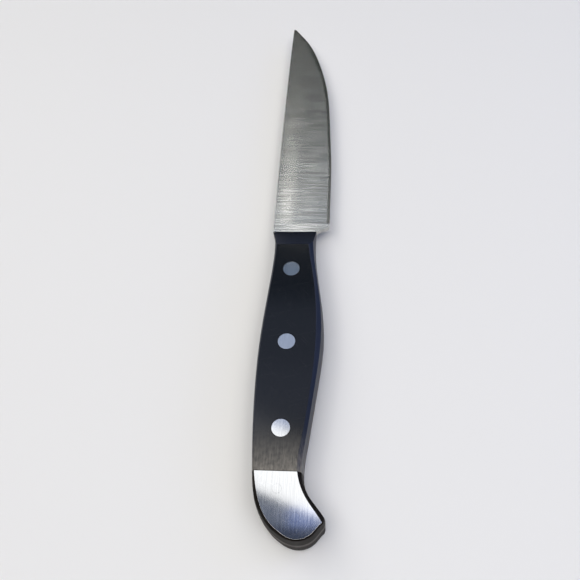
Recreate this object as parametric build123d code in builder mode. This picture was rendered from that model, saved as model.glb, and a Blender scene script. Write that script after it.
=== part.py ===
# Paring knife: a ground blade with a full tang, two handle scales on cutler's rivets,
# and a hooked steel cap in two halves. Millimetres.
#
# The knife lies on its side. X points to the cutting edge, Y to the tip and Z up.
# The origin is on the surface that it rests on, below the axis of the middle rivet.

import os
from math import radians, tan

from build123d import *

os.makedirs("parts", exist_ok=True)

# Overall sizes
blade_length = 103.2        # front of the scales to the point, before it is rounded
blade_width = 18.1          # spine to cutting edge, at the heel
handle_length = 97.2        # front of the scales to the butt
handle_width = 19.3         # belly to spine at the swell, with 0.7 to spare for the outline
handle_thickness = 11.0     # flat side to flat side

# Blade and tang
stock_thickness = 1.8       # the tang, and the blade before it is ground
heel_rise = 2.1             # front of the scales to the heel's corner
heel_root_rise = 0.9        # the same where the heel meets the tang
heel_round = 1.3
tip_round = 0.5
ricasso_length = 3.5        # steel ahead of the scales that keeps its full thickness
grind_start = 0.04          # depth of the grind at the spine, where it begins
heel_crown = 0.20           # how far the ground flat bulges half way across, at the heel
tip_crown = 0.08            # the same at the tip
heel_edge_thickness = 0.44  # steel left behind the edge, at the heel
tip_spine_thickness = 0.60  # steel left at the tip, on the line of the spine
tip_edge_thickness = 0.40   # steel left at the tip, on the line of the edge
bevel_angle = 16.0          # degrees, each side of the sharpened edge
edge_flat = 0.06            # thickness at the very edge
cut_overrun = 4.0           # how far every cutter reaches past what it cuts

# Handle
ramp_length = 8.0           # sloped front of each scale
scale_lip = 0.3             # height of the scale's front face above the blade
ramp_hollow = 0.25          # how far the slope is scooped
cap_length = 17.4           # joint to butt
face_break = 0.3            # rounding of the rim of each flat side
joint_groove = 0.12         # depth of the line cut where the scales meet the cap

# Rivets and pins
rivet_head_diameter = 5.3
rivet_head_depth = 1.8
socket_diameter = 3.6
post_diameter = 2.2
front_rivet_setback = 9.2   # end of the slope to the front rivet
rear_rivet_setback = 11.6   # rear rivet to the joint
middle_rivet_share = 0.49   # of the way from the front rivet to the rear one
post_end_gap = 0.5          # between each half's end and the other half
fit_clearance = 0.02        # heads in their seats, posts in their sockets, pins in the cap
bore_clearance = 0.05       # sockets in the scales and the tang
cap_pin_diameter = 2.4
front_pin_setback = 4.6     # joint to the front cap pin
rear_pin_setback = 5.8      # rear cap pin to the butt
rear_pin_offset = 5.0       # rivet line to the rear cap pin

# Outline of the handle. Each row has a place along the scale, as a share of its length from
# the front, then the distance from the rivet line, as shares of the handle's width: at the
# middle of the thickness, and on the flat side.
belly_shares = [
    (0.000, 0.352, 0.264),
    (0.104, 0.356, 0.268),
    (0.231, 0.415, 0.352),
    (0.381, 0.508, 0.427),
    (0.512, 0.535, 0.443),
    (0.630, 0.496, 0.424),
    (0.768, 0.427, 0.372),
    (0.898, 0.362, 0.302),
    (0.986, 0.331, 0.268),
]
spine_shares = [
    (1.000, 0.362, 0.337),
    (0.843, 0.407, 0.383),
    (0.680, 0.427, 0.404),
    (0.531, 0.417, 0.394),
    (0.375, 0.374, 0.350),
    (0.218, 0.319, 0.295),
    (0.104, 0.303, 0.275),
    (0.000, 0.373, 0.275),
]

# Outline of the cap. Each row has a point at the middle of the thickness and its fellow on
# the flat side: across, as a share of the handle's width, and past the joint, as a share of
# the cap's length.
throat_shares = [
    ((0.361, 0.178), (0.320, 0.200)),
    ((0.449, 0.356), (0.406, 0.388)),
    ((0.575, 0.523), (0.518, 0.557)),
    ((0.632, 0.609), (0.611, 0.700)),
]
hook_shares = [
    ((0.643, 0.667), (0.624, 0.727)),
    ((0.622, 0.736), (0.610, 0.747)),
]
butt_shares = [
    ((0.566, 0.818), (0.562, 0.803)),
    ((0.492, 0.914), (0.484, 0.903)),
    ((0.259, 1.000), (0.254, 0.988)),
    ((0.016, 0.900), (0.036, 0.880)),
    ((-0.124, 0.767), (-0.099, 0.745)),
    ((-0.244, 0.571), (-0.208, 0.552)),
    ((-0.319, 0.362), (-0.275, 0.347)),
]

# The corners of the handle's side above the tang: an upright band, a leaning facet, and the
# shoulder's facet from the last corner up to the rim. Each row has a height, as a share of
# the scale's, then how far in the outline is, as a share of the way from the middle's outline
# to the flat side's.
side_shares = [
    (0.00, 0.00),
    (0.12, 0.01),
    (0.80, 0.34),
]

# Cutting edge, from the tip back. Each row has a place along the blade, as a share of its
# length from the front of the scales, then the distance from the line of the spine, as a
# share of its width.
edge_shares = [
    (0.910, 0.406),
    (0.791, 0.671),
    (0.653, 0.850),
    (0.495, 0.934),
    (0.346, 0.979),
]
edge_straight_share = 0.15  # of the blade's length, up to where the edge begins to curve
spine_drop_share = 0.075    # of the blade's width, by which the spine falls at the tip
spine_sag_share = 0.25      # of that fall, half way along

# Places that follow from the sizes
scale_length = handle_length - cap_length
front_rivet_from_front = ramp_length + front_rivet_setback
rear_rivet_from_front = scale_length - rear_rivet_setback
rivet_span = rear_rivet_from_front - front_rivet_from_front
front_y = front_rivet_from_front + middle_rivet_share * rivet_span
joint_y = front_y - scale_length
tip_y = front_y + blade_length
rivet_places = {
    "front": (0, front_y - front_rivet_from_front),
    "middle": (0, 0),
    "rear": (0, front_y - rear_rivet_from_front),
}
pin_places = {
    "front": (0, joint_y - front_pin_setback),
    "rear": (rear_pin_offset, front_y - handle_length + rear_pin_setback),
}
middle_z = handle_thickness / 2
half_stock = stock_thickness / 2
scale_height = handle_thickness / 2 - half_stock
tang_top_z = middle_z + half_stock
seat_z = handle_thickness - rivet_head_depth
middle_plane = Plane.XY.offset(middle_z)
bore_radius = socket_diameter / 2 + bore_clearance
pin_hole_radius = cap_pin_diameter / 2 + fit_clearance
spine_x = -spine_shares[-1][1] * handle_width
tang_front_x = belly_shares[0][1] * handle_width
edge_x = spine_x + blade_width


def mixed(middle, face, inset_share):
    """A point between its places at the middle of the thickness and on the flat side."""
    return tuple(m + (f - m) * inset_share for m, f in zip(middle, face))


def side_points(rows, side, inset_share):
    """Points of one long side of the scales; side is 1 at the belly and -1 at the spine."""
    points = []
    for along, middle, face in rows:
        (across,) = mixed((middle,), (face,), inset_share)
        points.append((side * across * handle_width, front_y - along * scale_length))
    return points


def cap_points(rows, inset_share):
    """Points of the cap's outline."""
    points = []
    for middle, face in rows:
        across, along = mixed(middle, face, inset_share)
        points.append((across * handle_width, joint_y - along * cap_length))
    return points


def moved_in(points, distance):
    """The points of a line that runs clockwise seen from above, without its two ends, each
    moved inwards."""
    moved = []
    for before, here, after in zip(points, points[1:], points[2:]):
        run = Vector(*after) - Vector(*before)
        inwards = Vector(run.Y, -run.X).normalized() * distance
        moved.append((here[0] + inwards.X, here[1] + inwards.Y))
    return moved


def handle_section(height, inset_share, rim_inset=0):
    """The handle's outline at a height, between the tang's outline and the flat side's."""
    belly = side_points(belly_shares, 1, inset_share) + cap_points(throat_shares, inset_share)
    hook = cap_points(hook_shares, inset_share)
    back = cap_points(butt_shares, inset_share) + side_points(spine_shares, -1, inset_share)
    lead_in = (belly[0][0], front_y + handle_width)
    lead_out = (back[-1][0], front_y + handle_width)
    around = moved_in([lead_in] + belly + hook + back + [lead_out], rim_inset)
    hook_start = len(belly) - 1
    hook_end = hook_start + len(hook)
    with BuildSketch(Plane.XY.offset(height)) as section:
        with BuildLine():
            Line(around[-1], around[0])
            Spline(*around[: hook_start + 1])
            ThreePointArc(*around[hook_start : hook_end + 1])
            Spline(*around[hook_end:])
        make_face()
    return section.sketch


def handle_half():
    """The upper half of the handle above the tang, with facets along its sides."""
    corners = [
        handle_section(tang_top_z + height * scale_height, inset)
        for height, inset in side_shares
    ]
    rim = handle_section(handle_thickness - face_break, 1)
    flat_side = handle_section(handle_thickness, 1, face_break)
    with BuildPart() as half:
        loft(sections=corners + [rim, flat_side], ruled=True)
    return half.part


half_handle = handle_half()
joint_plane = Plane.XZ.offset(-joint_y)

# Cutter for the fine groove across the flat side, where a scale meets the cap
with BuildPart() as groove_cutter:
    with BuildSketch(Plane.YZ):
        with Locations((joint_y, handle_thickness)):
            RegularPolygon(radius=joint_groove, side_count=4)
    extrude(amount=handle_width, both=True)

# Cutter for the sloped front of a scale, scooped a little
ramp_start = (front_y, tang_top_z + scale_lip)
ramp_end = (front_y - ramp_length, handle_thickness)
ramp_middle = (
    (ramp_start[0] + ramp_end[0]) / 2,
    (ramp_start[1] + ramp_end[1]) / 2 - ramp_hollow,
)
with BuildPart() as ramp_cutter:
    with BuildSketch(Plane.YZ) as ramp_profile:
        with BuildLine():
            ThreePointArc(ramp_end, ramp_middle, ramp_start)
            Polyline(
                ramp_start,
                (front_y + cut_overrun, ramp_start[1]),
                (front_y + cut_overrun, handle_thickness + cut_overrun),
                (ramp_end[0], handle_thickness + cut_overrun),
                ramp_end,
            )
        make_face()
    extrude(amount=handle_width, both=True)

# Cutter for the upper side of the blade: the steel thins from the spine to the edge and
# from the heel to the tip, and bulges a little between the spine and the edge
grind_sections = [
    (front_y + ricasso_length, stock_thickness - grind_start, heel_edge_thickness, heel_crown),
    (tip_y, tip_spine_thickness, tip_edge_thickness, tip_crown),
]


def grind_section(along, spine_thickness, edge_thickness, crown):
    """The space above the ground side, across the blade at one place along it."""
    at_spine = (spine_x, middle_z + spine_thickness / 2)
    at_edge = (edge_x, middle_z + edge_thickness / 2)
    half_way = ((spine_x + edge_x) / 2, (at_spine[1] + at_edge[1]) / 2 + crown)
    with BuildSketch(Plane.XZ.offset(-along)) as section:
        with BuildLine():
            ThreePointArc(at_spine, half_way, at_edge)
            Polyline(
                at_edge,
                (edge_x, middle_z + stock_thickness),
                (spine_x, middle_z + stock_thickness),
                at_spine,
            )
        make_face()
    return section.sketch


with BuildPart() as grind_cutter:
    loft(sections=[grind_section(*section) for section in grind_sections], ruled=True)

# Blade and tang, one piece of steel. Its edge runs from the tip to the heel.
heel = (edge_x, front_y + heel_rise)
heel_root = (tang_front_x + heel_root_rise, front_y + heel_root_rise)
grind_corner = (edge_x, front_y + ricasso_length)
straight_end = (edge_x, front_y + edge_straight_share * blade_length)
tip = (spine_x + spine_drop_share * blade_width, tip_y)
spine_middle = (
    spine_x + spine_sag_share * spine_drop_share * blade_width,
    front_y + blade_length / 2,
)
curved_edge = [tip] + [
    (spine_x + across * blade_width, front_y + along * blade_length)
    for along, across in edge_shares
]
tip_run = (Vector(*tip) - Vector(*curved_edge[1])).normalized()
past_tip = (tip[0] + tip_run.X * cut_overrun, tip[1] + tip_run.Y * cut_overrun)
far_past_tip = (past_tip[0] + tip_run.X * cut_overrun, past_tip[1] + tip_run.Y * cut_overrun)
edge_line = [far_past_tip, past_tip] + curved_edge + [straight_end, grind_corner, heel]
edge_tangents = [(-tip_run.X, -tip_run.Y), (0, -1)]

# Cutter for the sharpened bevel, above the edge
bevel_height = max(heel_edge_thickness, tip_spine_thickness) / 2 + max(heel_crown, tip_crown)


def bevel_section(height):
    """The space outside the bevel, at a height above the middle of the edge's thickness."""
    line = moved_in(edge_line, height / tan(radians(bevel_angle)))
    outside_x = edge_x + cut_overrun
    with BuildSketch(Plane.XY.offset(middle_z + edge_flat / 2 + height)) as section:
        with BuildLine():
            Line(line[0], line[1])
            Spline(*line[1:-1], tangents=edge_tangents)
            Polyline(
                line[-2],
                line[-1],
                (outside_x, grind_corner[1]),
                (outside_x, past_tip[1]),
                line[0],
            )
        make_face()
    return section.sketch


with BuildPart() as bevel_cutter:
    loft(sections=[bevel_section(0), bevel_section(bevel_height)], ruled=True)

with BuildPart() as blade_and_tang:
    extrude(handle_section(middle_z - half_stock, 0), amount=stock_thickness)
    with BuildSketch(Plane.XY.offset(middle_z - half_stock)) as blade_outline:
        with BuildLine():
            ThreePointArc((spine_x, front_y), spine_middle, tip)
            Spline(*curved_edge, straight_end, tangents=edge_tangents)
            Polyline(
                straight_end,
                heel,
                heel_root,
                (tang_front_x, front_y),
                (spine_x, front_y),
            )
        make_face()
        fillet(blade_outline.vertices().sort_by(Axis.Y)[-1], radius=tip_round)
        fillet(blade_outline.vertices().sort_by_distance(heel)[0], radius=heel_round)
    extrude(amount=stock_thickness)
    for cutter in (grind_cutter.part, bevel_cutter.part):
        add(cutter, mode=Mode.SUBTRACT)
        add(mirror(cutter, about=middle_plane), mode=Mode.SUBTRACT)
    with Locations(*[(x, y, tang_top_z) for x, y in rivet_places.values()]):
        Hole(radius=bore_radius)
    with Locations(*[(x, y, tang_top_z) for x, y in pin_places.values()]):
        Hole(radius=pin_hole_radius)
blade_and_tang.part.label = "blade_and_tang"
export_step(blade_and_tang.part, "parts/blade_and_tang.step")

# Scales, one above the tang and its mirror image below
with BuildPart() as upper_scale:
    add(half_handle)
    split(bisect_by=joint_plane, keep=Keep.BOTTOM)
    for cutter in (ramp_cutter.part, groove_cutter.part):
        add(cutter, mode=Mode.SUBTRACT)
    with Locations(*[(x, y, handle_thickness) for x, y in rivet_places.values()]):
        CounterBoreHole(
            radius=bore_radius,
            counter_bore_radius=rivet_head_diameter / 2 + fit_clearance,
            counter_bore_depth=rivet_head_depth,
        )
upper_scale.part.label = "upper_scale"
export_step(upper_scale.part, "parts/upper_scale.step")

with BuildPart() as lower_scale:
    mirror(upper_scale.part, about=middle_plane)
lower_scale.part.label = "lower_scale"
export_step(lower_scale.part, "parts/lower_scale.step")

# Halves of the butt cap
with BuildPart() as upper_cap:
    add(half_handle)
    split(bisect_by=joint_plane, keep=Keep.TOP)
    add(groove_cutter.part, mode=Mode.SUBTRACT)
    with Locations(*[(x, y, handle_thickness) for x, y in pin_places.values()]):
        Hole(radius=pin_hole_radius)
upper_cap.part.label = "upper_cap"
export_step(upper_cap.part, "parts/upper_cap.step")

with BuildPart() as lower_cap:
    mirror(upper_cap.part, about=middle_plane)
lower_cap.part.label = "lower_cap"
export_step(lower_cap.part, "parts/lower_cap.step")

# Cutler's rivets: a socket from above and a post from below, pressed together
shank_reach = 2 * seat_z - handle_thickness - post_end_gap
for name, place in rivet_places.items():
    with BuildPart() as socket:
        with BuildSketch(Plane.XY.offset(seat_z)):
            with Locations(place):
                Circle(rivet_head_diameter / 2)
        extrude(amount=rivet_head_depth)
        with BuildSketch(Plane.XY.offset(seat_z)):
            with Locations(place):
                Circle(socket_diameter / 2)
                Circle(post_diameter / 2 + fit_clearance, mode=Mode.SUBTRACT)
        extrude(amount=-shank_reach)
    socket.part.label = name + "_rivet_socket"
    export_step(socket.part, "parts/" + socket.part.label + ".step")

    with BuildPart() as post:
        with BuildSketch():
            with Locations(place):
                Circle(rivet_head_diameter / 2)
        extrude(amount=rivet_head_depth)
        with BuildSketch(Plane.XY.offset(rivet_head_depth)):
            with Locations(place):
                Circle(post_diameter / 2)
        extrude(amount=shank_reach)
    post.part.label = name + "_rivet_post"
    export_step(post.part, "parts/" + post.part.label + ".step")

# Straight pins that hold the cap's halves to the tang, ground flush
for name, place in pin_places.items():
    with BuildPart() as cap_pin:
        with BuildSketch():
            with Locations(place):
                Circle(cap_pin_diameter / 2)
        extrude(amount=handle_thickness)
    cap_pin.part.label = name + "_cap_pin"
    export_step(cap_pin.part, "parts/" + cap_pin.part.label + ".step")
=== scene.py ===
# %% [markdown]
# # A paring knife on a pale table
# The knife has a slender steel blade, black handle scales on three rivets, and a hooked
# steel cap at its butt. The measured model of it is loaded first, as a fixed frame. After
# that each cell gives one part of it the surface that the real one has.

# %% Load the measured model
from math import cos, degrees, pi, radians, sin

import bmesh
import bpy
from mathutils import Matrix, Vector


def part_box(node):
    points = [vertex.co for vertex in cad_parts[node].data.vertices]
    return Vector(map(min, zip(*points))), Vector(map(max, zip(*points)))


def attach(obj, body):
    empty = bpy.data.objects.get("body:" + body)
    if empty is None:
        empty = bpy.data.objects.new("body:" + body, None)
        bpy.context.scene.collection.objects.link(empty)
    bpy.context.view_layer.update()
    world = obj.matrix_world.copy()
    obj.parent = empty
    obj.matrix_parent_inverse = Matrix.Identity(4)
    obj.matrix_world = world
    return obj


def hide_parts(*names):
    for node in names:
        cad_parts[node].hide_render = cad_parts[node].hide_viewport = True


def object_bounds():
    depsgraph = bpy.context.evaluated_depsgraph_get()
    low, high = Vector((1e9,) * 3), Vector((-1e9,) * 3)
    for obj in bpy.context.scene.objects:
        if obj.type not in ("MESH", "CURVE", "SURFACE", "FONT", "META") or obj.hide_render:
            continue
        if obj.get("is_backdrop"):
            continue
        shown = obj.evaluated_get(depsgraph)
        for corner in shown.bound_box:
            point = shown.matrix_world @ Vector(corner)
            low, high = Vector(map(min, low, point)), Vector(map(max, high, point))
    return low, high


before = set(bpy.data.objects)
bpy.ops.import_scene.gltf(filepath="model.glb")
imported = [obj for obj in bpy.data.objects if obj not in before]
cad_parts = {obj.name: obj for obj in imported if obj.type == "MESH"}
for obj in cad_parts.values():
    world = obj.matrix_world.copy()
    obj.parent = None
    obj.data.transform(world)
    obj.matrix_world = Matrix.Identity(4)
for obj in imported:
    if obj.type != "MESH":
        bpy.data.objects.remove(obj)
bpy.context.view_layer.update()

# %% [markdown]
# ## Units and places
# Sizes on a knife are read in millimetres and Blender works in metres, so lengths are
# written as a number times MM. The places that several cells need are read from the model:
# where the scales end and the cap begins, and half the height of the handle. The blade has
# a short flat of full thickness in front of the scales, and its ground sides begin past it.

# %% Units and places
MM = 0.001
WELD_DISTANCE = 0.001 * MM
RICASSO_LENGTH = 3.5 * MM
scale_low, scale_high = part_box("upper_scale")
joint_y = scale_low.y
front_y = scale_high.y
plunge_y = front_y + RICASSO_LENGTH
middle_z = scale_high.z / 2
print("joint at", round(joint_y / MM, 1), "front at", round(front_y / MM, 1))

# %% [markdown]
# ## The camera
# The photograph was taken from above the handle's end, looking down and a little forward.
# Its place comes from the three rivet heads: they are circles, so the shape and the spacing
# of their outlines say where the lens was. The position and the two directions below are
# that result. The lens follows from a 580 pixel frame and a focal length of 700 pixels.

# %% Camera
SENSOR = 36.0
FRAME_PIXELS = 580
FOCAL_PIXELS = 700
NEAREST_SEEN = 10 * MM
camera_place = Vector((19.945, -93.723, 186.945)) * MM
camera_right = Vector((0.99542, 0.0568, -0.07687))
camera_forward = Vector((-0.09533, 0.53105, -0.84196))

camera_data = bpy.data.cameras.new("camera")
camera_data.sensor_width = SENSOR
camera_data.lens = FOCAL_PIXELS / FRAME_PIXELS * SENSOR
camera_data.clip_start = NEAREST_SEEN
camera = bpy.data.objects.new("camera", camera_data)
camera_up = camera_right.cross(camera_forward)
turn = Matrix((camera_right, camera_up, -camera_forward)).transposed()
camera.matrix_world = Matrix.Translation(camera_place) @ turn.to_4x4()
bpy.context.scene.collection.objects.link(camera)
bpy.context.scene.camera = camera
bpy.context.scene.view_settings.view_transform = "Standard"
print("degrees from straight down:", round(degrees(camera_forward.angle(Vector((0, 0, -1)))), 1))

# %% [markdown]
# ## Helpers for materials
# Colours are picked as sRGB hex values, the way a picture editor shows them. Blender works
# with linear light, so one function turns a hex value into a linear colour. The next adds
# a node and fills its inputs, so that each material reads as a short list of steps, and the
# last one clears away the nodes that Blender puts into a new material.

# %% Helpers for materials
def hex_color(text):
    """A linear RGBA colour from an sRGB hex value such as 8a8f93."""
    channels = [int(text[i : i + 2], 16) / 255 for i in (0, 2, 4)]
    linear = [c / 12.92 if c <= 0.04045 else ((c + 0.055) / 1.055) ** 2.4 for c in channels]
    return (*linear, 1.0)


def add_node(tree, kind, inputs=(), **settings):
    """Adds a node. A list fills its inputs in order, and a dictionary fills them by name.

    Each value is a number, a vector, a hex colour, another node, or one of its outputs.
    """
    node = tree.nodes.new(kind)
    for name, value in settings.items():
        setattr(node, name, value)
    sockets = [socket for socket in node.inputs if socket.enabled]
    if isinstance(inputs, dict):
        sockets = [node.inputs[name] for name in inputs]
        inputs = inputs.values()
    for socket, value in zip(sockets, inputs):
        if isinstance(value, bpy.types.Node):
            value = next(output for output in value.outputs if output.enabled)
        if isinstance(value, bpy.types.NodeSocket):
            tree.links.new(value, socket)
        else:
            socket.default_value = hex_color(value) if isinstance(value, str) else value
    return node


def new_tree(owner):
    """Switches a material or a world to nodes and gives back its tree, empty."""
    owner.use_nodes = True
    owner.node_tree.nodes.clear()
    return owner.node_tree


print("steel grey is", [round(v, 3) for v in hex_color("c6c6c4")])

# %% [markdown]
# ## The table
# The knife lies on a plain white table top. A large flat sheet does for it. A real laminate
# is a little uneven in its gloss, but here it only has to catch the soft shadow.

# %% Table
TABLE_HALF = 1.5
table_material = bpy.data.materials.new("white_laminate")
tree = new_tree(table_material)
laminate = add_node(tree, "ShaderNodeBsdfPrincipled", {"Base Color": "ececea", "Roughness": 0.6})
add_node(tree, "ShaderNodeOutputMaterial", [laminate])

table_mesh = bpy.data.meshes.new("table")
table_mesh.materials.append(table_material)
shape = bmesh.new()
bmesh.ops.create_grid(shape, x_segments=1, y_segments=1, size=TABLE_HALF)
shape.to_mesh(table_mesh)
shape.free()
table = bpy.data.objects.new("table", table_mesh)
bpy.context.scene.collection.objects.link(table)
table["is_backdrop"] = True
print("table", [round(v, 2) for v in table.dimensions])


# %% [markdown]
# ## Soft panels for light
# Polished steel shows the room and not itself, so the lights are placed by what each part
# of the knife mirrors. A panel's place is given the way that the steel sees it: how far it
# leans from straight up towards the tip, and how far towards the cutting edge. Its width
# and depth are angles too, so the numbers can be read straight off the reflections. The
# angles hold at the place that the panel is seen from, which is the balance point unless a
# distance along the knife is given.

# %% Helper for a soft panel
def soft_panel(
    name, lean, side, wide, deep, radiance, tint="ffffff", turned=0, distance=0.9, seen_from=0
):
    """A soft panel that faces the knife. lean, side, wide, deep and turned are in degrees."""
    lean, side, turned = radians(lean), radians(side), radians(turned)
    outward = Vector((sin(side), sin(lean) * cos(side), cos(lean) * cos(side)))
    tipward = Vector((0, cos(lean), -sin(lean)))
    edgeward = tipward.cross(outward)
    spin = Matrix.Rotation(turned, 3, outward)
    axes = Matrix((spin @ edgeward, spin @ tipward, outward)).transposed()
    data = bpy.data.lights.new(name, "AREA")
    data.shape = "RECTANGLE"
    data.size = radians(wide) * distance
    data.size_y = radians(deep) * distance
    data.energy = radiance * data.size * data.size_y * pi
    data.color = hex_color(tint)[:3]
    panel = bpy.data.objects.new(name, data)
    place = outward * distance + Vector((0, seen_from, 0))
    panel.matrix_world = Matrix.Translation(place) @ axes.to_4x4()
    bpy.context.scene.collection.objects.link(panel)
    print(name, "at", [round(v, 2) for v in place], "metres")


# %% [markdown]
# ## Panels that the handle mirrors
# The cap shows a bright piece of ceiling that ends half way down it, with a dim and bluish
# rest. Its edge lies aslant, so the panel is turned. The front rivets and the flat of the
# scales look further along the same ceiling, where it grows dimmer step by step.

# %% Lights over the handle
soft_panel("ceiling_over_cap", lean=15.8, side=-6, wide=30, deep=6.2, radiance=1.7, turned=-20)
soft_panel("ceiling_under_it", lean=11.2, side=-6, wide=10, deep=2.2, radiance=0.2, tint="dfe8ff")
soft_panel("blue_patch", lean=11.0, side=-3.4, wide=3.2, deep=1.8, radiance=0.4, tint="6f97ff")
soft_panel("ceiling_glow", lean=22.2, side=-5, wide=24, deep=6, radiance=0.78, tint="d8e2ff")
soft_panel("ceiling_far_glow", lean=28.5, side=-5, wide=20, deep=6.5, radiance=0.55, tint="d8e2ff")

# %% [markdown]
# ## Panels that the blade mirrors
# The blade is bright near its heel, most of all beside the spine, and it darkens towards
# the tip. Its grinding lines smear a small lamp along it, so three shallow panels give that:
# a broad one, a strong strip in it, and one on the side of the edge. They hang far away, so
# that the front of the scales doesn't mirror them too.

# %% Lights over the blade
FAR = 2.5
soft_panel(
    "ceiling_over_blade", lean=38.8, side=-4.0, wide=9, deep=1.8, radiance=4.2,
    tint="fffcf6", distance=FAR, seen_from=plunge_y,
)
soft_panel(
    "ceiling_strip", lean=38.8, side=-4.9, wide=2.2, deep=1.8, radiance=7,
    tint="fffcf6", distance=FAR, seen_from=plunge_y,
)
soft_panel(
    "ceiling_over_edge", lean=38.8, side=3.5, wide=7, deep=1.8, radiance=3.3,
    tint="fffcf6", distance=FAR, seen_from=plunge_y,
)

# %% [markdown]
# ## Panels that light the room
# Three large soft panels light the table from above and from both sides, so that the shadow
# has no edge. No flat of the knife mirrors them towards the camera. Two cooler ones stand
# for windows beyond the cutting edge and behind the camera. They give the sides of the
# scales some of their blue sheen; the rest is a painted blue reflection in the scales' colour.

# %% Lights for the room
soft_panel(
    "ceiling_above", lean=-14, side=-5, wide=64, deep=32, radiance=2.9, tint="fffaf4", distance=1.0
)
soft_panel(
    "ceiling_left", lean=30, side=-34, wide=32, deep=60, radiance=1.6, tint="fffaf4", distance=1.0
)
soft_panel(
    "ceiling_right", lean=2, side=28, wide=24, deep=60, radiance=1.6, tint="fffaf4", distance=1.0
)
soft_panel("window_right", lean=48, side=54, wide=34, deep=50, radiance=1.1, tint="96adff")
soft_panel("low_window", lean=-62, side=50, wide=30, deep=20, radiance=2.0, tint="b8ccff")

# %% [markdown]
# ## The room
# What no panel covers is a dim room. It is darkest straight above, where the steel near the
# butt looks, a cool grey higher up the walls and neutral at the horizon. A colour ramp on
# the height of the direction gives that, and being part of the room, it stays put when the
# camera moves.

# %% World
world = bpy.data.worlds.new("room")
bpy.context.scene.world = world
tree = new_tree(world)
direction = add_node(tree, "ShaderNodeTexCoord")
split = add_node(tree, "ShaderNodeSeparateXYZ", [direction.outputs["Generated"]])
ramp = add_node(tree, "ShaderNodeValToRGB", [split.outputs["Z"]])
room_colors = [
    (0.0, "4c4e4c"),
    (0.60, "444643"),
    (0.72, "565754"),
    (0.83, "6c809c"),
    (0.98, "3c4458"),
]
while len(ramp.color_ramp.elements) < len(room_colors):
    ramp.color_ramp.elements.new(0.5)
for element, (height, color) in zip(ramp.color_ramp.elements, room_colors):
    element.position = height
    element.color = hex_color(color)
room = add_node(tree, "ShaderNodeBackground", [ramp])
add_node(tree, "ShaderNodeOutputWorld", [room])
print("room colours", len(room_colors))


# %% [markdown]
# ## Patterns, for everything that was ground
# The blade was ground across and the handle along its length, scales, rivets and cap in one
# pass on the same belt. Both leave fine parallel lines. Noise that is stretched along the
# grinding direction gives them: its three sizes are the length of a streak and the spacing
# of the streaks in real millimetres. Scratches are the rare peaks of the same noise. One
# mask tells the flats, which the belt reached, from the walls around them. The lines are
# only a hundredth of a millimetre deep, and steel reads their direction from a map on it.

# %% Helpers for patterns
GRINDING = "grinding"
BUMP_DEPTH = 0.01 * MM


def streaks(tree, size, detail, turned=0):
    """Noise from 0 to 1 with cells of the given size in mm along X, Y and Z."""
    place = add_node(tree, "ShaderNodeTexCoord").outputs["Object"]
    turn = add_node(tree, "ShaderNodeMapping", {"Vector": place, "Rotation": (0, 0, radians(turned))})
    per_metre = [1 / (length * MM) for length in size]
    fitted = add_node(tree, "ShaderNodeMapping", {"Vector": turn, "Scale": per_metre})
    return add_node(tree, "ShaderNodeTexNoise", {"Vector": fitted, "Scale": 1, "Detail": detail})


def scratches(tree, turned, length, width=0.14):
    """Sparse fine scratches, 1 in a scratch and 0 elsewhere, with their sizes in mm."""
    peaks = streaks(tree, (length, width, length), detail=0, turned=turned)
    return add_node(tree, "ShaderNodeMapRange", [peaks, 0.78, 0.81, 0, 1])


def flatness(tree):
    """1 on faces that lie flat, up or down, and 0 on the walls around them."""
    place = add_node(tree, "ShaderNodeTexCoord").outputs["Normal"]
    parts = add_node(tree, "ShaderNodeSeparateXYZ", [place])
    upright = add_node(tree, "ShaderNodeMath", [parts.outputs["Z"]], operation="ABSOLUTE")
    return add_node(tree, "ShaderNodeMapRange", [upright, 0.86, 0.96, 0, 1])


print("the map that says which way a piece was ground is called", GRINDING)

# %% [markdown]
# ## Blade steel
# A stainless blade is ground across on a belt, and finished with a finer one. The lines run
# from spine to edge, so a light over the knife is smeared along the blade. The anisotropic
# setting does that, with its tangent along the blade. The real lines are 0.1 mm apart and
# too fine for the picture, so they are drawn 0.3 mm apart, with some that are 0.6 mm apart.
# Where the tang shows between the scales the steel wasn't polished and keeps a dark skin.

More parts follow.
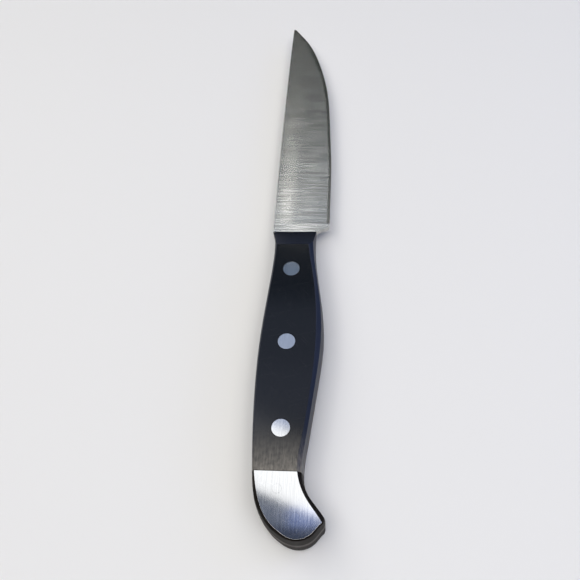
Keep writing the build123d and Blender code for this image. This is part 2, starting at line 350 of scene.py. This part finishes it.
# %% Blade steel
def blade_steel():
    """Steel with fine lines across the blade, and a dark skin on the edge of the tang."""
    material = bpy.data.materials.new("brushed_stainless_steel")
    tree = new_tree(material)
    fine_lines = streaks(tree, (9, 0.28, 9), detail=1)
    wide_lines = streaks(tree, (11, 0.6, 11), detail=1)
    lines = add_node(tree, "ShaderNodeMix", [0.15, fine_lines, wide_lines])
    contrast = add_node(tree, "ShaderNodeMapRange", [lines, 0.38, 0.62, 0, 1])
    bright = add_node(tree, "ShaderNodeMix", [contrast, "acaca8", "d2d2ce"], data_type="RGBA")
    cloud = streaks(tree, (7, 4, 7), detail=3)
    stain = add_node(tree, "ShaderNodeMapRange", [cloud, 0.35, 0.7, 0, 0.35])
    stained = add_node(tree, "ShaderNodeMix", [stain, bright, "a9aba8"], data_type="RGBA")
    marks = scratches(tree, turned=24, length=9)
    faint = add_node(tree, "ShaderNodeMath", [marks, 0.2], operation="MULTIPLY")
    marked = add_node(tree, "ShaderNodeMix", [faint, stained, "d9d9d6"], data_type="RGBA")

    place = add_node(tree, "ShaderNodeTexCoord").outputs["Object"]
    parts = add_node(tree, "ShaderNodeSeparateXYZ", [place])
    handle = add_node(tree, "ShaderNodeMath", [parts.outputs["Y"], front_y], operation="LESS_THAN")
    walls = add_node(tree, "ShaderNodeMath", [1, flatness(tree)], operation="SUBTRACT")
    skin = add_node(tree, "ShaderNodeMath", [handle, walls], operation="MULTIPLY")
    color = add_node(tree, "ShaderNodeMix", [skin, marked, "4c4642"], data_type="RGBA")

    polish = add_node(tree, "ShaderNodeMapRange", [lines, 0.36, 0.64, 0.18, 0.20])
    roughness = add_node(tree, "ShaderNodeMath", [skin, 0.25, polish], operation="MULTIPLY_ADD")
    bump = add_node(
        tree, "ShaderNodeBump", {"Strength": 0.05, "Distance": BUMP_DEPTH, "Height": lines}
    )
    tangent = add_node(tree, "ShaderNodeTangent", direction_type="UV_MAP", uv_map=GRINDING)
    surface = {
        "Base Color": color,
        "Metallic": 1,
        "Roughness": roughness,
        "Anisotropic": 0.82,
        "Normal": bump,
        "Tangent": tangent,
    }
    shader = add_node(tree, "ShaderNodeBsdfPrincipled", surface)
    add_node(tree, "ShaderNodeOutputMaterial", [shader])
    return material


blade_finish = blade_steel()
print(blade_finish.name, len(blade_finish.node_tree.nodes), "nodes")

# %% [markdown]
# ## Ground steel of the cap, the rivets and the pins
# They were ground flush with the scales, along the handle, and the cap was then buffed. The
# flat faces mirror the room softly, with fine lines along the handle. Their walls were never
# ground: they keep the dark skin of the forging. One function makes both finishes, because
# they differ only in how much they were polished.

# %% Ground steel
def ground_steel(name, roughness, lines_bump):
    """Steel with bright flats and dark walls."""
    material = bpy.data.materials.new(name)
    tree = new_tree(material)
    lines = streaks(tree, (0.22, 9, 0.22), detail=2)
    contrast = add_node(tree, "ShaderNodeMapRange", [lines, 0.3, 0.7, 0, 1])
    bright = add_node(tree, "ShaderNodeMix", [contrast, "bdbdbc", "d0d0ce"], data_type="RGBA")
    one_way = scratches(tree, turned=-62, length=5)
    other_way = scratches(tree, turned=28, length=4)
    marks = add_node(tree, "ShaderNodeMath", [one_way, other_way], operation="MAXIMUM")
    faint = add_node(tree, "ShaderNodeMath", [marks, 0.6], operation="MULTIPLY")
    marked = add_node(tree, "ShaderNodeMix", [faint, bright, "e2e2e0"], data_type="RGBA")
    cloud = streaks(tree, (3, 5, 3), detail=3)
    mottle = add_node(tree, "ShaderNodeMapRange", [cloud, 0.3, 0.7, 0, 1])
    skin = add_node(tree, "ShaderNodeMix", [mottle, "1d1916", "2c2825"], data_type="RGBA")
    flat = flatness(tree)
    color = add_node(tree, "ShaderNodeMix", [flat, skin, marked], data_type="RGBA")

    rubbed = add_node(tree, "ShaderNodeMath", [marks, 0.5, lines], operation="MULTIPLY_ADD")
    wear = add_node(tree, "ShaderNodeMapRange", [rubbed, 0.3, 0.9, 0.8, 1.3])
    polish = add_node(tree, "ShaderNodeMath", [wear, roughness], operation="MULTIPLY")
    walls = add_node(tree, "ShaderNodeMath", [1, flat], operation="SUBTRACT")
    dull = add_node(tree, "ShaderNodeMath", [walls, 0.5, polish], operation="MULTIPLY_ADD")
    bump = add_node(
        tree, "ShaderNodeBump", {"Strength": lines_bump, "Distance": BUMP_DEPTH, "Height": lines}
    )
    tangent = add_node(tree, "ShaderNodeTangent", direction_type="UV_MAP", uv_map=GRINDING)
    surface = {
        "Base Color": color,
        "Metallic": 1,
        "Roughness": dull,
        "Anisotropic": 0.3,
        "Normal": bump,
        "Tangent": tangent,
    }
    shader = add_node(tree, "ShaderNodeBsdfPrincipled", surface)
    add_node(tree, "ShaderNodeOutputMaterial", [shader])
    return material


cap_finish = ground_steel("buffed_forged_steel", roughness=0.075, lines_bump=0.08)
rivet_finish = ground_steel("ground_rivet_steel", roughness=0.12, lines_bump=0.12)
print(cap_finish.name, "and", rivet_finish.name)

# %% [markdown]
# ## Black scales
# The scales are wood soaked in black resin, pressed hard and ground. Up close there is a
# fine grain along the handle, a little mottle, and light scratches. The sloping sides are
# duller than the flats, and a painted blue reflection of the windows is mixed into their
# colour. Towards the cap the colour turns a brownish grey: partly the black worn thin, and
# partly a painted sheen of the ceiling panel over the cap.

# %% Black resin wood
WEAR_AND_SHEEN_LENGTH = 15 * MM


def scale_black():
    """Black wood, grey beside the cap from wear and a painted sheen, and painted blue on its sides.
    """
    material = bpy.data.materials.new("black_resin_wood")
    tree = new_tree(material)
    grain = streaks(tree, (0.2, 6, 0.2), detail=3)
    mottle = streaks(tree, (0.7, 1.4, 0.7), detail=3)
    texture = add_node(tree, "ShaderNodeMix", [0.5, grain, mottle])
    contrast = add_node(tree, "ShaderNodeMapRange", [texture, 0.35, 0.65, 0, 1])
    black = add_node(tree, "ShaderNodeMix", [contrast, "050608", "0a0b0d"], data_type="RGBA")
    sides = add_node(tree, "ShaderNodeMath", [1, flatness(tree)], operation="SUBTRACT")
    # Painted reflection: the sloping sides get a blue in their colour for the blue windows that they
    # mirror.
    painted_blue_sides = add_node(tree, "ShaderNodeMix", [sides, black, "081428"], data_type="RGBA")

    place = add_node(tree, "ShaderNodeTexCoord").outputs["Object"]
    parts = add_node(tree, "ShaderNodeSeparateXYZ", [place])
    # Painted sheen and wear: beside the cap the colour turns grey, partly wear and partly the sheen
    # of the ceiling panel over the cap.
    wear_and_sheen_from = joint_y + WEAR_AND_SHEEN_LENGTH
    near_cap = add_node(tree, "ShaderNodeMapRange", [parts.outputs["Y"], wear_and_sheen_from, joint_y, 0, 1])
    fading = add_node(tree, "ShaderNodeMath", [near_cap, 2.4], operation="POWER")
    spots = add_node(tree, "ShaderNodeMapRange", [texture, 0.35, 0.65, 0.2, 1])
    wear_and_sheen = add_node(tree, "ShaderNodeMath", [fading, spots], operation="MULTIPLY")
    color = add_node(tree, "ShaderNodeMix", [wear_and_sheen, painted_blue_sides, "8a8479"], data_type="RGBA")

    one_way = scratches(tree, turned=-15, length=8)
    other_way = scratches(tree, turned=48, length=6)
    marks = add_node(tree, "ShaderNodeMath", [one_way, other_way], operation="MAXIMUM")
    faint = add_node(tree, "ShaderNodeMath", [marks, 0.25], operation="MULTIPLY")
    marked = add_node(tree, "ShaderNodeMix", [faint, color, "3a3a3a"], data_type="RGBA")

    polish = add_node(tree, "ShaderNodeMapRange", [texture, 0.3, 0.7, 0.09, 0.14])
    roughness = add_node(tree, "ShaderNodeMath", [sides, 0.34, polish], operation="MULTIPLY_ADD")
    bump = add_node(
        tree, "ShaderNodeBump", {"Strength": 0.3, "Distance": BUMP_DEPTH, "Height": texture}
    )
    surface = {"Base Color": marked, "Roughness": roughness, "IOR": 1.43, "Normal": bump}
    shader = add_node(tree, "ShaderNodeBsdfPrincipled", surface)
    add_node(tree, "ShaderNodeOutputMaterial", [shader])
    return material


scale_finish = scale_black()
for name in ("upper_scale", "lower_scale"):
    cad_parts[name].material_slots[0].material = scale_finish
print(scale_finish.name, "on the scales")

# %% [markdown]
# ## Pieces that can take a finish
# The model's own meshes stay as they are. The steel needs more than a material: a map that
# says which way it was ground, and corners that are a little soft, because a buffed corner
# catches a thin line of light. So each steel piece gets a new object that is seen in its
# place. The map is laid flat over it, with its first axis along the stretch of the
# highlights.

# %% Helpers for the pieces
def flat_map(shape, first, second):
    """A flat map of the shape, with one metre to a unit, along two axes."""
    layer = shape.loops.layers.uv.new(GRINDING)
    for face in shape.faces:
        for corner in face.loops:
            corner[layer].uv = (corner.vert.co[first], corner.vert.co[second])


def soften(shape, edges, width):
    """Bevels the chosen edges."""
    bmesh.ops.bevel(
        shape,
        geom=edges,
        offset=width,
        offset_type="OFFSET",
        segments=2,
        profile=0.5,
        affect="EDGES",
        material=-1,
        clamp_overlap=True,
    )


def middle(edge):
    """The point half way along an edge."""
    return (edge.verts[0].co + edge.verts[1].co) / 2


def finished_piece(name, shape, node_name, material, sharp_from=35):
    """Makes the object, smooth but for its corners, and puts it in the node's place."""
    for face in shape.faces:
        face.smooth = True
    for edge in shape.edges:
        edge.smooth = edge.calc_face_angle(0) < radians(sharp_from)
    mesh = bpy.data.meshes.new(name)
    shape.to_mesh(mesh)
    shape.free()
    mesh.materials.append(material)
    piece = bpy.data.objects.new(name, mesh)
    bpy.context.scene.collection.objects.link(piece)
    steady = piece.modifiers.new("steady_flats", "WEIGHTED_NORMAL")
    steady.keep_sharp = True
    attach(piece, "root")
    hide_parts(node_name)
    print(name, len(mesh.polygons), "faces")


# %% [markdown]
# ## The blade's ground sides
# The ground sides bulge by a few hundredths of a millimetre, and polished steel shows that.
# The model's triangles are too coarse for it. So each side is made one face, cut by planes
# into narrow strips, and the corners of the strips are set to the height of the true
# surface. Its half thickness is known at the heel and at the tip, beside the spine and
# beside the edge, with a bulge between them.

# %% The blade's ground sides
STRIP_ACROSS = 1.0 * MM
STRIP_ALONG = 4.0 * MM
NEARLY_FLAT = 0.985
tip_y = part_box("blade_and_tang")[1].y
spine_x = -7.2 * MM
edge_x = 10.9 * MM
heel_half = {"spine": 0.88 * MM, "edge": 0.22 * MM, "bulge": 0.20 * MM}
tip_half = {"spine": 0.30 * MM, "edge": 0.20 * MM, "bulge": 0.08 * MM}


def half_thickness(x, y):
    """Half of the steel's thickness on the ground side, from the heel's and the tip's."""
    across = (x - spine_x) / (edge_x - spine_x)
    along = (y - plunge_y) / (tip_y - plunge_y)
    ends = []
    for half in (heel_half, tip_half):
        straight = half["spine"] + (half["edge"] - half["spine"]) * across
        ends.append(straight + half["bulge"] * 4 * across * (1 - across))
    return ends[0] + (ends[1] - ends[0]) * along


def ground_side(shape, way):
    """The faces of one ground side; way is 1 for the upper side and -1 for the lower one."""
    return [
        face
        for face in shape.faces
        if face.normal.z * way > NEARLY_FLAT and face.calc_center_median().y > plunge_y
    ]


def cut_side(shape, way, place, across):
    """Cuts one ground side along a plane through a place."""
    faces = ground_side(shape, way)
    parts = {part for face in faces for part in (face, *face.edges, *face.verts)}
    bmesh.ops.bisect_plane(
        shape, geom=list(parts), dist=WELD_DISTANCE, plane_co=place, plane_no=across
    )


shape = bmesh.new()
shape.from_mesh(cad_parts["blade_and_tang"].data)
bmesh.ops.remove_doubles(shape, verts=shape.verts, dist=WELD_DISTANCE)
largest_move = 0
for way in (1, -1):
    bmesh.ops.dissolve_faces(shape, faces=ground_side(shape, way), use_verts=False)
    for step in range(1, int((edge_x - spine_x) / STRIP_ACROSS)):
        cut_side(shape, way, (spine_x + step * STRIP_ACROSS, 0, 0), (1, 0, 0))
    for step in range(1, int((tip_y - plunge_y) / STRIP_ALONG) + 1):
        cut_side(shape, way, (0, plunge_y + step * STRIP_ALONG, 0), (0, 1, 0))
    faces = set(ground_side(shape, way))
    for corner in {corner for face in faces for corner in face.verts}:
        if all(face in faces for face in corner.link_faces):
            height = middle_z + way * half_thickness(corner.co.x, corner.co.y)
            largest_move = max(largest_move, abs(height - corner.co.z))
            corner.co.z = height
    print("side", way, len(faces), "faces")
print("largest move in mm", round(largest_move / MM, 3))

# %% [markdown]
# ## The blade's corners
# The corners along the spine and the heel are softened, as a hand on the belt would do. The
# sharp edge stays sharp, and so do the steps where the tang enters the handle and where the
# grind begins.

# %% Blade
CORNER_SOFTNESS = 0.13 * MM
SQUARE_CORNER = radians(60)
EDGE_ZONE = 0.27 * MM
HANDLE_ZONE = 0.5 * MM
PLUNGE_ZONE = 0.1 * MM
corners = [
    edge
    for edge in shape.edges
    if edge.calc_face_angle(0) > SQUARE_CORNER
    and middle(edge).y > front_y + HANDLE_ZONE
    and abs(middle(edge).z - middle_z) > EDGE_ZONE
    and abs(middle(edge).y - plunge_y) > PLUNGE_ZONE
]
soften(shape, corners, CORNER_SOFTNESS)
flat_map(shape, first=1, second=0)
finished_piece("ground_blade", shape, "blade_and_tang", blade_finish, sharp_from=9)

# %% [markdown]
# ## The cap's halves
# The rim of each flat has a small chamfer in the model. Its two corners are rounded, which
# is what buffing does to them. The model's loose triangles are welded first, and its flats
# become single faces, so that a bevel runs clean along the rim.

# %% Cap
SAME_PLANE = radians(0.3)
CHAMFER_ANGLES = (radians(28), radians(62))
RIM_SOFTNESS = 0.09 * MM
RIM_ZONE = 0.6 * MM
JOINT_ZONE = 0.4 * MM
for name in ("upper_cap", "lower_cap"):
    shape = bmesh.new()
    shape.from_mesh(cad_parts[name].data)
    bmesh.ops.remove_doubles(shape, verts=shape.verts, dist=WELD_DISTANCE)
    bmesh.ops.dissolve_limit(shape, angle_limit=SAME_PLANE, verts=shape.verts, edges=shape.edges)
    rim = [
        edge
        for edge in shape.edges
        if CHAMFER_ANGLES[0] < edge.calc_face_angle(0) < CHAMFER_ANGLES[1]
        and abs(middle(edge).z - middle_z) > middle_z - RIM_ZONE
        and middle(edge).y < joint_y - JOINT_ZONE
    ]
    soften(shape, rim, RIM_SOFTNESS)
    flat_map(shape, first=0, second=1)
    finished_piece("buffed_" + name, shape, name, cap_finish)

# %% [markdown]
# ## Rivets
# A cutler's rivet is turned on a lathe, so it is made the same way: half of its outline is
# spun round its axis. The head is ground with the handle, which leaves it very slightly
# crowned, and its corner is broken, so a fine dark line shows around it. One half is a
# socket with a blind bore, and the other is a post that was driven into it.

# %% Rivets
HEAD_DEPTH = 1.8 * MM
HEAD_CROWN = 0.012 * MM
HEAD_CHAMFER = 0.16 * MM
CROWN_SHARES = ((0, 0), (0.35, 0.12), (0.65, 0.42))
SOCKET_RADIUS = 1.8 * MM
BORE_RADIUS = 1.12 * MM
POST_RADIUS = 1.1 * MM
TURNING_STEPS = 64


def spun(profile, node_name):
    """Spins a half outline of (radius, height) pairs round the node's upright axis."""
    low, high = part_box(node_name)
    center = Vector(((low.x + high.x) / 2, (low.y + high.y) / 2, 0))
    shape = bmesh.new()
    points = [shape.verts.new((center.x + radius, center.y, height)) for radius, height in profile]
    outline = [shape.edges.new(pair) for pair in zip(points, points[1:])]
    bmesh.ops.spin(
        shape,
        geom=points + outline,
        cent=center,
        axis=(0, 0, 1),
        angle=2 * pi,
        steps=TURNING_STEPS,
        use_merge=True,
    )
    bmesh.ops.remove_doubles(shape, verts=shape.verts, dist=WELD_DISTANCE)
    bmesh.ops.recalc_face_normals(shape, faces=shape.faces)
    flat_map(shape, first=0, second=1)
    return shape


def rivet_outline(node_name, is_socket):
    """The half outline of a rivet's half: a head at the flat side and a shank inwards."""
    low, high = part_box(node_name)
    head_radius = (high.x - low.x) / 2
    inward = -1 if is_socket else 1
    outer = high.z if is_socket else low.z
    inner = low.z if is_socket else high.z
    seat = outer + inward * HEAD_DEPTH
    shank_radius = SOCKET_RADIUS if is_socket else POST_RADIUS
    crown = [
        (head_radius * outwards, outer + inward * HEAD_CROWN * lower)
        for outwards, lower in CROWN_SHARES
    ]
    outline = crown + [
        (head_radius - HEAD_CHAMFER, outer + inward * HEAD_CROWN),
        (head_radius, outer + inward * (HEAD_CROWN + HEAD_CHAMFER)),
        (head_radius, seat),
        (shank_radius, seat),
        (shank_radius, inner),
    ]
    if is_socket:
        return outline + [(BORE_RADIUS, inner), (BORE_RADIUS, seat), (0, seat)]
    return outline + [(0, inner)]


for place in ("front", "middle", "rear"):
    for half in ("socket", "post"):
        node_name = place + "_rivet_" + half
        shape = spun(rivet_outline(node_name, half == "socket"), node_name)
        finished_piece("turned_" + node_name, shape, node_name, rivet_finish)

# %% [markdown]
# ## Cap pins
# The two pins through the cap are ground and buffed with it, and nearly vanish. Each is a
# turned rod with its two corners just broken.

# %% Pins
PIN_CHAMFER = 0.01 * MM
for name in ("front_cap_pin", "rear_cap_pin"):
    low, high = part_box(name)
    radius = (high.x - low.x) / 2
    outline = [
        (0, high.z),
        (radius - PIN_CHAMFER, high.z),
        (radius, high.z - PIN_CHAMFER),
        (radius, low.z + PIN_CHAMFER),
        (radius - PIN_CHAMFER, low.z),
        (0, low.z),
    ]
    finished_piece("turned_" + name, spun(outline, name), name, cap_finish)

# %% [markdown]
# ## Sizes
# The dressed knife must keep the model's size. The box around it is worked out here.

# %% The size of the dressed knife
low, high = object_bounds()
